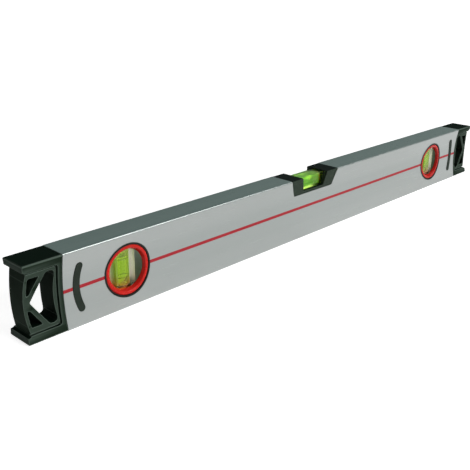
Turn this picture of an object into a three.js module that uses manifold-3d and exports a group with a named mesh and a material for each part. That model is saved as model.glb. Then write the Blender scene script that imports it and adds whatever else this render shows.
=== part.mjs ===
// A box-section spirit level: a waisted aluminium profile with a plastic cap in each end, a
// horizontal vial let into its top edge, and a plumb vial behind a round window near each end.
//
// Millimetres. X runs along the level, Y from its front side to its back side, and Z up from the
// face it rests on. The origin is the middle of that face.

import * as THREE from "three";
import { mergeVertices } from "three/addons/utils/BufferGeometryUtils.js";
import Module from "manifold-3d";

const wasm = await Module();
wasm.setup();

// Whole level
const overallLength = 600;
const tubeHeight = 57;
const tubeWidth = 24.5;

// Aluminium profile: the long sides are waisted, deepest at mid-height
const waistDepth = 2.8;
const sideWall = 1.8;
const edgeWall = 2.4;
const tubeCornerRadius = 1.2;
const tubeInnerRadius = 0.8;

// Clearances: between pieces that slip together, and the thin seam that shows round a piece
const fit = 0.15;
const seam = 0.2;

// End caps: a K of two ribs between the bowed end wall and the wall that meets the profile
const capLength = 30;
const capInset = 0.2;
const capCornerRadius = 1.4;
const capFlangeHeight = 6.2;
const capFlangeEndHeight = 5;
const capFlangeEndRound = 0.8;
const capEndWall = 2.4;
const capEndWallSetback = 2.8;
const capEndWallBulge = 2.5;
const capInnerWall = 5;
const capRib = 3;
const capRibMeet = 5.2;
const capOpeningTopWidth = 6.8;
const capOpeningRim = 3.1;
const capTriangleRim = 4.7;
const capOpeningRound = 4.5;
const capSharpRound = 1.2;
const capPocketDepth = 1.1;
const capPocketSetback = 3.4;
const capPocketRound = 2.6;
const spigotWall = 2;
const spigotPastLocks = 2;

// Round windows, one near each end of the profile
const windowFromTubeEnd = 54.7;
const windowHoleRadius = 20;
const bezelLip = 0.7;
const bezelThickness = 0.4;
const bezelSleeve = 0.55;
const bezelShelf = 0.7;
const bezelRound = 0.25;
const redRingWidth = 3.95;
const redRingSink = 0.25;
const redRingCrestRadius = 1.5;
const redRingLip = 0.7;
const bezelOpeningRadius = 15.4;

// Carrier that holds a plumb vial between its two bezels
const carrierWall = 3.6;
const carrierCornerWall = 0.5;

// Vials: clear blocks bored from one end, with two line rings, an air bubble, a seal and a plug
const lineWidth = 0.7;
const lineThickness = 0.45;
const sealThickness = 1.4;
const sealNoseRadius = 3.2;
const blockCornerRadius = 0.6;
const plugRecess = 0.1;
const bubbleClearance = 0.15;

// Plumb vials
const plumbBoreRadius = 5.8;
const plumbBlockWall = 0.8;
const plumbBlockWidth = 17.8;
const plumbPlugLength = 3.65;
const plumbLineFromEnd = 6;
const plumbBubbleHeight = 4.6;
const plumbBubbleRound = 1.7;

// Horizontal vial in the middle of the top edge
const centreBoreRadius = 4.9;
const centreBlockWall = 1;
const centreBlockDepth = 13.2;
const centreBlockLength = 46;
const centrePlugLength = 9.7;
const centreLineGap = 0.35;
const centreBubbleLength = 13;
const centreBubbleHeight = 4.6;
const centreBubbleSpread = 8.2;

// Notch in the top edge, and the housing that fills it
const notchDepth = 15.7;
const notchTopWidth = 67.6;
const notchFloorWidth = 55.6;
const notchRound = 1.6;
const housingRoof = 1.3;
const housingBar = 2.6;
const housingWindowTopWidth = 35.4;
const housingWindowFloorWidth = 29;
const housingWindowRound = 0.8;
const skirtInset = 1.5;
const skirtDrop = 1.2;
const retainerThickness = 2.4;
const retainerRibWidth = 3;
const retainerRibHeight = 1.5;

// Cap locks: crescent keys, concentric with the windows, that pass through the profile's sides
// into the spigots of the end caps
const lockFromTubeEnd = 10.3;
const lockWidth = 5.8;
const lockTipHeight = 15.6;
const lockProud = 0.35;
const lockBevel = 0.3;

// Cutting tools run past what they cut by this much
const overrun = 2;

// Numbers of steps on curved outlines and round surfaces
const sideSteps = 12;
const cornerSteps = 3;
const curveSteps = 4;
const lockSteps = 5;
const crestSteps = 3;
const windowSegments = 40;
const boreSegments = 24;
const bubbleSegments = 20;

// Places that several pieces share, measured from the level's middle at mid-height
const halfHeight = tubeHeight / 2;
const halfWidth = tubeWidth / 2;
const waistReach = halfHeight - tubeCornerRadius;
const tubeHalfLength = overallLength / 2 - capLength;
const windowX = tubeHalfLength - windowFromTubeEnd;
const lockRadius = windowFromTubeEnd - lockFromTubeEnd;
const lockTipX = Math.sqrt(lockRadius ** 2 - lockTipHeight ** 2);
const spigotTip = windowX + lockTipX - lockWidth / 2 - spigotPastLocks;
const capPocketHalf = halfHeight - capInset - capFlangeHeight;
const plumbBlockDepth = 2 * (plumbBoreRadius + plumbBlockWall);
const bezelDepth = halfWidth - plumbBlockDepth / 2 - fit;
const sleeveRadius = windowHoleRadius - fit;
const sleeveBore = sleeveRadius - bezelSleeve;
const carrierRadius = sleeveRadius;
const plumbBlockCorner = carrierRadius - carrierCornerWall;
const plumbPocketHalf = plumbBlockWidth / 2 + fit;
const plumbBlockLength = 2 * (Math.sqrt(plumbBlockCorner ** 2 - plumbPocketHalf ** 2) - fit);
const plumbVial = {
  bore: plumbBoreRadius,
  length: plumbBlockLength,
  cavity: plumbBlockLength - 2 * (plumbPlugLength + plugRecess),
};
const plumbLineZ = plumbVial.cavity / 2 - plumbLineFromEnd;
const centreBlockHeight = 2 * (centreBoreRadius + centreBlockWall);
const centreVial = {
  bore: centreBoreRadius,
  length: centreBlockLength,
  cavity: centreBlockLength - 2 * (centrePlugLength + plugRecess),
};
const centreLineX = centreBubbleLength / 2 + centreLineGap + lineWidth / 2;
const notchFloor = halfHeight - notchDepth;
const housingTop = halfHeight - seam;
const pocketTop = housingTop - housingRoof;
const centreVialZ = pocketTop - fit - centreBlockHeight / 2;
const pocketHalfLength = centreBlockLength / 2 + fit;
const pocketHalfDepth = centreBlockDepth / 2 + fit;
const retainerTop = centreVialZ - centreBlockHeight / 2 - fit;
const skirtFloor = retainerTop - retainerThickness - skirtDrop;

// Finishes
function finish(color, roughness, metalness, opacity = 1) {
  const transparent = opacity < 1;
  return new THREE.MeshStandardMaterial({ color, roughness, metalness, opacity, transparent });
}
const anodised = finish("#a9b0ac", 0.35, 0.9);
const blackPlastic = finish("#1b241f", 0.55, 0);
const lockPlastic = finish("#2c3530", 0.7, 0);
const redPlastic = finish("#d42c20", 0.35, 0);
const clearAcrylic = finish("#dfeee2", 0.05, 0, 0.35);
const sealRubber = finish("#7a3320", 0.6, 0);
const lineBlack = finish("#16240f", 0.6, 0);
const air = finish("#d9f2a8", 0.05, 0, 0.5);

// Solids and meshes
function toSolid(geometry) {
  const bare = geometry.clone();
  bare.deleteAttribute("normal");
  bare.deleteAttribute("uv");
  const merged = mergeVertices(bare);
  const vertProperties = merged.getAttribute("position").array;
  const triVerts = new Uint32Array(merged.getIndex().array);
  return new wasm.Manifold(new wasm.Mesh({ numProp: 3, vertProperties, triVerts }));
}

function toGeometry(solid) {
  const mesh = solid.getMesh();
  const geometry = new THREE.BufferGeometry();
  geometry.setAttribute("position", new THREE.BufferAttribute(mesh.vertProperties, 3));
  geometry.setIndex(new THREE.BufferAttribute(mesh.triVerts, 1));
  geometry.computeVertexNormals();
  return geometry;
}

function named(name, geometry, material) {
  const mesh = new THREE.Mesh(geometry, material);
  mesh.name = name;
  return mesh;
}

// An outline in X and Z, pushed along Y from low to high
function extrudeAcross(outline, low, high, options = {}) {
  const settings = { depth: high - low, bevelEnabled: false, curveSegments: curveSteps, ...options };
  const geometry = new THREE.ExtrudeGeometry(outline, settings);
  return geometry.rotateX(Math.PI / 2).translate(0, high, 0);
}

// An outline in Y and Z, pushed along X from low to high
function extrudeAlong(outline, low, high) {
  const settings = { depth: high - low, bevelEnabled: false, curveSegments: curveSteps };
  const geometry = new THREE.ExtrudeGeometry(outline, settings);
  const alongY = new THREE.Vector3(0, 1, 0);
  const alongZ = new THREE.Vector3(0, 0, 1);
  const alongX = new THREE.Vector3(1, 0, 0);
  geometry.applyMatrix4(new THREE.Matrix4().makeBasis(alongY, alongZ, alongX));
  return geometry.translate(low, 0, 0);
}

// A plain cylinder about Z from low to high
function cylinderUp(radius, low, high, segments) {
  const geometry = new THREE.CylinderGeometry(radius, radius, high - low, segments);
  return geometry.rotateX(Math.PI / 2).translate(0, 0, (low + high) / 2);
}

// A ring or a round solid about Z, from an outline of radius against height
function turned(points, segments) {
  return new THREE.LatheGeometry(points, segments).rotateX(Math.PI / 2);
}

function at(x, y) {
  return new THREE.Vector2(x, y);
}

// A closed outline through the corners, each rounded off over the distance given for it
function roundedOutline(corners, cuts) {
  const outline = new THREE.Shape();
  corners.forEach((corner, i) => {
    const before = corners[(i + corners.length - 1) % corners.length];
    const after = corners[(i + 1) % corners.length];
    const start = corner.clone().add(before.clone().sub(corner).setLength(cuts[i]));
    const end = corner.clone().add(after.clone().sub(corner).setLength(cuts[i]));
    if (i === 0) outline.moveTo(start.x, start.y);
    else outline.lineTo(start.x, start.y);
    if (cuts[i] > 0) outline.quadraticCurveTo(corner.x, corner.y, end.x, end.y);
  });
  outline.closePath();
  return outline;
}

function roundedRectangle(width, height, radius) {
  const right = width / 2;
  const top = height / 2;
  const corners = [at(-right, -top), at(right, -top), at(right, top), at(-right, top)];
  return roundedOutline(corners, [radius, radius, radius, radius]);
}

// How far the sides lie in from the plane of the edges, at a height from mid-height
function waist(height) {
  const share = height / waistReach;
  return waistDepth * Math.max(0, 1 - share ** 2);
}

// The profile's waisted outline in Y and Z, with its sides and its edges moved in
function sectionOutline(sideInset, edgeInset, radius) {
  const reach = halfHeight - edgeInset - radius;
  const side = [];
  for (let i = 0; i <= sideSteps; i += 1) {
    const height = THREE.MathUtils.lerp(-reach, reach, i / sideSteps);
    side.push(at(halfWidth - waist(height) - sideInset, height));
  }
  const centre = halfWidth - waist(reach) - sideInset - radius;
  const corners = [];
  for (let i = 1; i < 2 * cornerSteps; i += 1) {
    const angle = (Math.PI / 2) * (i / cornerSteps);
    const y = Math.sign(cornerSteps - i) * centre + radius * Math.cos(angle);
    if (i !== cornerSteps) corners.push(at(y, reach + radius * Math.sin(angle)));
    else corners.push(at(centre, reach + radius), at(-centre, reach + radius));
  }
  const half = [...side, ...corners];
  return new THREE.Shape([...half, ...half.map((point) => point.clone().negate())]);
}

function sectionSolid(low, high, sideInset, edgeInset, radius) {
  return toSolid(extrudeAlong(sectionOutline(sideInset, edgeInset, radius), low, high));
}

// Moves points with Y from 0 at the edges' plane onto the waisted front side; the waist dies
// away at the depth given
function bendToFront(geometry, depth) {
  const position = geometry.getAttribute("position");
  for (let i = 0; i < position.count; i += 1) {
    const y = position.getY(i);
    position.setY(i, y - halfWidth + waist(position.getZ(i)) * (1 - y / depth));
  }
  return geometry;
}

// Notch outline in X and Z, moved in by the gap and open at the top
function notchHalf(height) {
  const share = (height - notchFloor) / notchDepth;
  return THREE.MathUtils.lerp(notchFloorWidth / 2, notchTopWidth / 2, share);
}

function notchOutline(gap, top) {
  const floor = notchFloor + gap;
  const high = notchHalf(top) - gap;
  const low = notchHalf(floor) - gap;
  const corners = [at(-low, floor), at(low, floor), at(high, top), at(-high, top)];
  return roundedOutline(corners, [notchRound, notchRound, 0, 0]);
}

// Crescent outline in X and Z about the window's centre, its edge moved in by the gap
function crescentOutline(gap) {
  const half = lockWidth / 2 - gap;
  const angle = Math.atan2(lockTipHeight, lockTipX);
  const outline = new THREE.Shape();
  outline.absarc(0, 0, lockRadius + half, -angle, angle, false);
  outline.absarc(lockTipX, lockTipHeight, half, angle, angle + Math.PI, false);
  outline.absarc(0, 0, lockRadius - half, angle, -angle, true);
  outline.absarc(lockTipX, -lockTipHeight, half, Math.PI - angle, 2 * Math.PI - angle, false);
  return outline;
}

// Cutter for the slots that the cap locks pass through, right across the level
function lockSlotSolid() {
  const across = halfWidth + overrun;
  const slot = extrudeAcross(crescentOutline(0), -across, across, { curveSegments: lockSteps });
  return toSolid(slot.translate(windowX, 0, 0));
}

// Aluminium profile, with the notch, the window holes and the slots for the cap locks cut out
function profileGeometry() {
  const outline = sectionOutline(0, 0, tubeCornerRadius);
  outline.holes.push(sectionOutline(sideWall, edgeWall, tubeInnerRadius));
  const bar = toSolid(extrudeAlong(outline, -tubeHalfLength, tubeHalfLength));
  const across = halfWidth + overrun;
  const notch = extrudeAcross(notchOutline(0, halfHeight + overrun), -across, across);
  const hole = new THREE.CylinderGeometry(windowHoleRadius, windowHoleRadius, 2 * across, windowSegments);
  const cuts = toSolid(hole.translate(windowX, 0, 0)).add(lockSlotSolid());
  const otherCuts = toSolid(toGeometry(cuts).rotateZ(Math.PI));
  return toGeometry(bar.subtract(toSolid(notch)).subtract(cuts).subtract(otherCuts));
}

// Side view of the right end cap in X and Z: flanges above and below a bowed end wall
function capOutline() {
  const low = tubeHalfLength + seam;
  const end = overallLength / 2;
  const top = halfHeight - capInset;
  const under = top - capFlangeEndHeight;
  const wallX = end - capEndWallSetback;
  const wallZ = under - capEndWallSetback;
  const bulge = capEndWallBulge * 2;
  const outline = new THREE.Shape();
  outline.moveTo(low, -top);
  outline.lineTo(end - capFlangeEndRound, -top);
  outline.quadraticCurveTo(end, -top, end, capFlangeEndRound - top);
  outline.lineTo(end, -under);
  outline.quadraticCurveTo(wallX, -under, wallX, -wallZ);
  outline.quadraticCurveTo(wallX + bulge, 0, wallX, wallZ);
  outline.quadraticCurveTo(wallX, under, end, under);
  outline.lineTo(end, top - capFlangeEndRound);
  outline.quadraticCurveTo(end, top, end - capFlangeEndRound, top);
  outline.lineTo(low, top);
  outline.closePath();
  return outline;
}

// How far along X the inside of the bowed end wall lies, at a height from mid-height
function endWallInside(height) {
  const wallZ = halfHeight - capInset - capFlangeEndHeight - capEndWallSetback;
  const share = height / wallZ;
  const bow = capEndWallBulge * (1 - share ** 2);
  return overallLength / 2 - capEndWallSetback - capEndWall + bow;
}

// The middle opening of the cap, between the ribs and the wall next to the profile
function capMiddleOutline() {
  const wall = tubeHalfLength + capInnerWall;
  const meet = overallLength / 2 - capRibMeet;
  const far = wall + capOpeningTopWidth;
  const top = capPocketHalf - capOpeningRim;
  const corners = [at(meet, 0), at(far, top), at(wall, top), at(wall, -top), at(far, -top)];
  const cuts = [capSharpRound, capOpeningRound / 2, capOpeningRound, capOpeningRound, capOpeningRound / 2];
  return roundedOutline(corners, cuts);
}

// The opening above the upper rib; the one below the lower rib is its mirror image
function capTriangleOutline(mirror) {
  const meet = at(overallLength / 2 - capRibMeet, 0);
  const far = at(tubeHalfLength + capInnerWall + capOpeningTopWidth, capPocketHalf - capOpeningRim);
  const along = far.clone().sub(meet).normalize();
  const across = at(along.y, -along.x).multiplyScalar(capRib);
  const start = meet.clone().add(across);
  const top = capPocketHalf - capTriangleRim;
  const apexZ = start.y + capRib;
  const apexX = start.x + (along.x / along.y) * capRib;
  const cornerX = start.x + (along.x / along.y) * (top - start.y);
  const middle = (apexZ + top) / 2;
  const corners = [
    at(apexX, apexZ),
    at(endWallInside(apexZ), apexZ),
    at(endWallInside(middle), middle),
    at(endWallInside(top), top),
    at(cornerX, top),
  ];
  const small = (endWallInside(apexZ) - apexX) / 3;
  const cuts = [small, small, 0, capSharpRound, capSharpRound];
  return roundedOutline(corners.map((corner) => at(corner.x, mirror * corner.y)), cuts);
}

// Right end cap, with the spigot that plugs into the profile
function capGeometry() {
  const across = halfWidth + overrun;
  const end = overallLength / 2 + overrun;
  const face = tubeHalfLength + seam;
  const outline = capOutline();
  outline.holes.push(capMiddleOutline(), capTriangleOutline(1), capTriangleOutline(-1));
  const section = sectionSolid(face - overrun, end, capInset, capInset, capCornerRadius);
  const pocketLow = tubeHalfLength + capPocketSetback;
  const pocketHigh = end - pocketLow;
  const pocketOutline = roundedRectangle(2 * pocketHigh, 2 * capPocketHalf, capPocketRound);
  const pocket = toSolid(extrudeAcross(pocketOutline, -across, across).translate(end, 0, 0));
  const web = sectionSolid(face - overrun, end, capInset + capPocketDepth, 0, capCornerRadius);
  const body = toSolid(extrudeAcross(outline, -across, across)).intersect(section);
  const spigotSide = sideWall + fit;
  const spigotEdge = edgeWall + fit;
  const spigot = sectionSolid(spigotTip, face + seam, spigotSide, spigotEdge, tubeInnerRadius);
  const hollow = sectionSolid(
    spigotTip - overrun,
    tubeHalfLength - spigotWall,
    spigotSide + spigotWall,
    spigotEdge + spigotWall,
    tubeInnerRadius,
  );
  const plugIn = spigot.subtract(hollow).subtract(lockSlotSolid());
  return toGeometry(body.subtract(pocket.subtract(web)).add(plugIn));
}

// Black bezel of a window: a lip on the profile, a sleeve through its wall and a shelf inside
function bezelGeometry() {
  const lip = windowHoleRadius + bezelLip;
  const front = -seam - bezelThickness;
  const points = [
    at(sleeveBore, front),
    at(sleeveBore, bezelDepth - bezelShelf),
    at(bezelOpeningRadius, bezelDepth - bezelShelf),
    at(bezelOpeningRadius, bezelDepth),
    at(sleeveRadius, bezelDepth),
    at(sleeveRadius, -seam),
    at(lip, -seam),
    at(lip, front + bezelRound),
    at(lip - bezelRound, front),
    at(sleeveBore, front),
  ];
  return bendToFront(new THREE.LatheGeometry(points.reverse(), windowSegments), bezelDepth);
}

// Red ring inside a bezel: a round crest, then a funnel down to the vial
function redRingGeometry() {
  const outer = sleeveBore - fit;
  const inner = outer - redRingWidth;
  const back = bezelDepth - bezelShelf - fit;
  const crestDepth = redRingSink - seam - bezelThickness + redRingCrestRadius;
  const crestX = outer - redRingCrestRadius;
  const outline = new THREE.Path();
  outline.moveTo(inner, back);
  outline.lineTo(outer, back);
  outline.lineTo(outer, crestDepth);
  outline.absarc(crestX, crestDepth, redRingCrestRadius, 0, (-Math.PI * 5) / 6, true);
  outline.lineTo(inner, back - redRingLip);
  outline.lineTo(inner, back);
  const points = outline.getPoints(crestSteps).reverse();
  return bendToFront(new THREE.LatheGeometry(points, windowSegments), bezelDepth);
}

// Carrier between the bezels: a thick ring with a seat for the vial block cut through it
function carrierGeometry() {
  const outer = carrierRadius;
  const inner = carrierRadius - carrierWall;
  const half = plumbBlockDepth / 2;
  const points = [at(inner, -half), at(outer, -half), at(outer, half), at(inner, half), at(inner, -half)];
  const ring = toSolid(new THREE.LatheGeometry(points, windowSegments));
  const height = plumbBlockLength + 2 * fit;
  const seat = roundedRectangle(2 * plumbPocketHalf, height, blockCornerRadius / 2);
  const through = half + overrun;
  return toGeometry(ring.subtract(toSolid(extrudeAcross(seat, -through, through))));
}

// A vial block standing along Z: width in X, depth in Y, bored from its lower end. The cavity
// left between the bore's blind end and the plug lies at the block's middle.
function blockGeometry(width, depth, vial) {
  const half = vial.length / 2;
  const outline = roundedRectangle(width, depth, blockCornerRadius);
  const settings = { depth: vial.length, bevelEnabled: false, curveSegments: cornerSteps };
  const block = new THREE.ExtrudeGeometry(outline, settings).translate(0, 0, -half);
  const bore = cylinderUp(vial.bore, -half - overrun, vial.cavity / 2, boreSegments);
  return toGeometry(toSolid(block).subtract(toSolid(bore)));
}

// Plug at the lower end of a bore, with a nose that carries the seal
function plugGeometry(vial) {
  const low = plugRecess - vial.length / 2;
  const nose = -vial.cavity / 2;
  const face = nose - sealThickness - fit;
  const points = [
    at(0, low),
    at(vial.bore - fit, low),
    at(vial.bore - fit, face),
    at(sealNoseRadius, face),
    at(sealNoseRadius, nose),
    at(0, nose),
  ];
  return turned(points, boreSegments);
}

// Seal ring round the plug's nose, with rounded edges
function sealGeometry(vial) {
  const outer = vial.bore - fit;
  const inner = sealNoseRadius + fit;
  const high = -vial.cavity / 2;
  const low = high - sealThickness;
  const middle = (low + high) / 2;
  const round = sealThickness / 4;
  const points = [
    at(inner, low),
    at(outer - round, low),
    at(outer, middle),
    at(outer - round, high),
    at(inner, high),
    at(inner, low),
  ];
  return turned(points, boreSegments);
}

// Line ring on the wall of a bore
function lineRingGeometry(vial) {
  const outer = vial.bore - fit;
  const inner = outer - lineThickness;
  const half = lineWidth / 2;
  const points = [at(inner, -half), at(outer, -half), at(outer, half), at(inner, half), at(inner, -half)];
  return turned(points, boreSegments);
}

// Bubble at the top end of a standing bore: a flat-topped drop with rounded edges
function plumbBubbleGeometry() {
  const radius = plumbVial.bore - fit - lineThickness - bubbleClearance;
  const high = plumbVial.cavity / 2 - fit;
  const low = high - plumbBubbleHeight;
  const round = plumbBubbleRound;
  const outline = new THREE.Path();
  outline.moveTo(0, low);
  outline.lineTo(radius - round, low);
  outline.quadraticCurveTo(radius, low, radius, low + round);
  outline.lineTo(radius, high - round / 2);
  outline.quadraticCurveTo(radius, high, radius - round / 2, high);
  outline.lineTo(0, high);
  return turned(outline.getPoints(curveSteps), bubbleSegments);
}

// Bubble along the top of the lying bore, made standing along Z with its crown towards -Y
function centreBubbleGeometry() {
  const radius = centreVial.bore - fit - lineThickness - bubbleClearance;
  const half = centreBubbleLength / 2;
  const drop = new THREE.SphereGeometry(1, bubbleSegments, bubbleSegments / 2).rotateX(Math.PI / 2);
  drop.scale(centreBubbleSpread / 2, centreBubbleHeight / 2, half);
  drop.translate(0, centreBubbleHeight / 2 - radius, 0);
  const inside = cylinderUp(radius, -half - overrun, half + overrun, boreSegments);
  return toGeometry(toSolid(drop).intersect(toSolid(inside)));
}

// Cap lock pressed through its slot in the front side into the cap's spigot
function lockGeometry() {
  const inside = sideWall + fit + spigotWall;
  const settings = {
    curveSegments: lockSteps,
    depth: lockProud + inside - 2 * lockBevel,
    bevelEnabled: true,
    bevelSize: lockBevel,
    bevelThickness: lockBevel,
    bevelOffset: -lockBevel,
    bevelSegments: 1,
  };
  const key = new THREE.ExtrudeGeometry(crescentOutline(fit), settings).rotateX(Math.PI / 2);
  return bendToFront(key.translate(0, inside - lockBevel, 0), Infinity);
}

// What is clear of the profile's walls along the notch
function insideProfile() {
  return sectionSolid(-notchTopWidth, notchTopWidth, sideWall + 2 * fit, edgeWall, tubeInnerRadius);
}

// Housing in the notch: solid ends, low bars front and back, and a pocket for the vial below
function housingGeometry() {
  const across = halfWidth + overrun;
  const floor = notchFloor + fit;
  const filling = toSolid(extrudeAcross(notchOutline(fit, housingTop), -across, across));
  const body = filling.intersect(
    sectionSolid(-notchTopWidth, notchTopWidth, seam, seam, tubeCornerRadius),
  );
  const skirtHalf = notchFloorWidth / 2 - skirtInset;
  const skirtCorners = [
    at(-skirtHalf, skirtFloor),
    at(skirtHalf, skirtFloor),
    at(skirtHalf, floor + seam),
    at(-skirtHalf, floor + seam),
  ];
  const skirtBlock = toSolid(extrudeAcross(new THREE.Shape(skirtCorners), -across, across));
  const skirt = skirtBlock.intersect(insideProfile());
  const barTop = floor + housingBar;
  const windowTop = housingTop + overrun;
  const slope = (housingWindowTopWidth - housingWindowFloorWidth) / (housingTop - barTop) / 2;
  const low = housingWindowFloorWidth / 2;
  const high = low + slope * (windowTop - barTop);
  const windowCorners = [at(-low, barTop), at(low, barTop), at(high, windowTop), at(-high, windowTop)];
  const round = housingWindowRound;
  const opening = toSolid(
    extrudeAcross(roundedOutline(windowCorners, [round, round, 0, 0]), -across, across),
  );
  const pocketFloor = skirtFloor - overrun;
  const pocket = new THREE.BoxGeometry(2 * pocketHalfLength, 2 * pocketHalfDepth, pocketTop - pocketFloor);
  pocket.translate(0, 0, (pocketTop + pocketFloor) / 2);
  return toGeometry(body.add(skirt).subtract(opening).subtract(toSolid(pocket)));
}

// Retainer that closes the housing's pocket under the vial, with a stiffening rib
function retainerGeometry() {
  const half = pocketHalfLength - fit;
  const depth = pocketHalfDepth - fit;
  const low = retainerTop - retainerThickness;
  const rib = retainerRibWidth / 2;
  const corners = [
    at(-depth, low),
    at(-rib, low),
    at(-rib, low - retainerRibHeight),
    at(rib, low - retainerRibHeight),
    at(rib, low),
    at(depth, low),
    at(depth, retainerTop),
    at(-depth, retainerTop),
  ];
  const plate = toSolid(extrudeAlong(new THREE.Shape(corners), -half, half));
  return toGeometry(plate.intersect(insideProfile()));
}

// Assembly: the inner group's origin is the middle of the level at mid-height
const level = new THREE.Group();
const middle = new THREE.Group();
middle.position.z = halfHeight;
level.add(middle);
middle.add(named("box_profile", profileGeometry(), anodised));

const cap = capGeometry();
const lock = lockGeometry();
const bezel = bezelGeometry();
const redRing = redRingGeometry();
const carrier = carrierGeometry();
const plumbBlock = blockGeometry(plumbBlockWidth, plumbBlockDepth, plumbVial);
const plumbPlug = plugGeometry(plumbVial);
const plumbSeal = sealGeometry(plumbVial);
const plumbLine = lineRingGeometry(plumbVial);
const plumbBubble = plumbBubbleGeometry();

// The left end is the right end turned half round, so its front pieces lie at its back
const ends = [
  { name: "right", turn: 0, faces: ["front", "back"] },
  { name: "left", turn: Math.PI, faces: ["back", "front"] },
];
for (const end of ends) {
  const group = new THREE.Group();
  group.rotation.z = end.turn;
  middle.add(group);
  group.add(named(end.name + "_end_cap", cap, blackPlastic));
  const window = new THREE.Group();
  window.position.x = windowX;
  group.add(window);
  end.faces.forEach((face, i) => {
    const side = new THREE.Group();
    side.rotation.x = Math.PI * i;
    window.add(side);
    side.add(named(end.name + "_" + face + "_bezel", bezel, blackPlastic));
    side.add(named(end.name + "_" + face + "_red_ring", redRing, redPlastic));
    side.add(named(end.name + "_" + face + "_cap_lock", lock, lockPlastic));
  });
  window.add(named(end.name + "_vial_carrier", carrier, blackPlastic));
  window.add(named(end.name + "_vial_block", plumbBlock, clearAcrylic));
  window.add(named(end.name + "_vial_plug", plumbPlug, clearAcrylic));
  window.add(named(end.name + "_vial_seal", plumbSeal, sealRubber));
  window.add(named(end.name + "_bubble", plumbBubble, air));
  const upper = named(end.name + "_upper_line_ring", plumbLine, lineBlack);
  const lower = named(end.name + "_lower_line_ring", plumbLine, lineBlack);
  upper.position.z = plumbLineZ;
  lower.position.z = -plumbLineZ;
  window.add(upper, lower);
}

middle.add(named("centre_vial_housing", housingGeometry(), blackPlastic));
middle.add(named("centre_vial_retainer", retainerGeometry(), blackPlastic));

// The lying vial is made standing and laid over, so that its plug is at the right
const centreBlock = blockGeometry(centreBlockHeight, centreBlockDepth, centreVial);
const centreLine = lineRingGeometry(centreVial);
const lying = new THREE.Group();
lying.rotation.y = -Math.PI / 2;
lying.position.z = centreVialZ;
middle.add(lying);
lying.add(named("centre_vial_block", centreBlock, clearAcrylic));
lying.add(named("centre_vial_plug", plugGeometry(centreVial), clearAcrylic));
lying.add(named("centre_vial_seal", sealGeometry(centreVial), sealRubber));
const centreBubble = named("centre_bubble", centreBubbleGeometry(), air);
centreBubble.rotation.z = Math.PI / 2;
const leftLine = named("centre_left_line_ring", centreLine, lineBlack);
const rightLine = named("centre_right_line_ring", centreLine, lineBlack);
leftLine.position.z = centreLineX;
rightLine.position.z = -centreLineX;
lying.add(centreBubble, leftLine, rightLine);

export default level;
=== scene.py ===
"""A box-section spirit level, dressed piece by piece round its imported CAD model."""

from math import pi, radians

import bmesh
import bpy
import numpy as np
from mathutils import Matrix, Quaternion, Vector


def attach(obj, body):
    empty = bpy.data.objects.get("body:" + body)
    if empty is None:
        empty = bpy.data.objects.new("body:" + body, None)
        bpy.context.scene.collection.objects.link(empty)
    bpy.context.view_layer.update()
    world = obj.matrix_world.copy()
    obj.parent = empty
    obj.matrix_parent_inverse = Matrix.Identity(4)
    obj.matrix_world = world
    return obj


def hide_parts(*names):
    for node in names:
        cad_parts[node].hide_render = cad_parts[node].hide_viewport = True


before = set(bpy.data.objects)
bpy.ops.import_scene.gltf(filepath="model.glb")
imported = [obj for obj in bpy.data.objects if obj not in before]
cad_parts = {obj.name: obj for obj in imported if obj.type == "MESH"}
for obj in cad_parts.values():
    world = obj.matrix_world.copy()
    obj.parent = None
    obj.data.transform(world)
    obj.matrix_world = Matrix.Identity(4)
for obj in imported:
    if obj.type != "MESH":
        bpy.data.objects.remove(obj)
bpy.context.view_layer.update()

# Box profile: an extruded aluminium box section with waisted long sides, anodised to a satin silver.
# A mill cuts the notch, the round windows and the crescent slots, and a red line is painted along the
# middle of each long side. Sizes are in millimetres, and heights are measured from mid-height.
mm = 0.001
mid_height = 28.5
half_width = 12.25
profile_end = 270
profile_corner = 1.2
waist_depth = 2.8
waist_reach = mid_height - profile_corner
side_wall = 1.8
edge_wall = 2.4
inner_corner = 0.8
window_x = 215.3
window_radius = 20
slip_fit = 0.15
seam = 0.2
overrun = 2
lock_radius = 44.4
lock_width = 5.8
lock_tip_height = 15.6
notch_floor = 12.8
notch_depth = 15.7
notch_top_width = 67.6
notch_floor_width = 55.6
notch_round = 1.6
line_half_width = 1.3


def waist(height):
    """How far a long side lies in from the plane of the edges: the waist's depth at mid-height, less
    with the square of the height, and nothing from the corners on."""
    return waist_depth * np.clip(1 - (height / waist_reach) ** 2, 0, None)


def section(side_inset, edge_inset, radius, side_steps=64, corner_steps=8):
    """Outline in Y and Z: up one waisted side, round the two top corners on quarter circles, and the
    same points turned half round for the other side."""
    reach = mid_height - edge_inset - radius
    heights = np.linspace(-reach, reach, side_steps + 1)
    side = np.column_stack([half_width - waist(heights) - side_inset, heights])
    centre = half_width - waist(reach) - side_inset - radius
    turn = np.linspace(0, pi / 2, corner_steps + 1)
    first = np.column_stack([centre + radius * np.cos(turn), reach + radius * np.sin(turn)])[1:]
    second = np.column_stack([-centre - radius * np.sin(turn), reach + radius * np.cos(turn)])[:-1]
    half = np.concatenate([side, first, second])
    return np.concatenate([half, -half])


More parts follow.
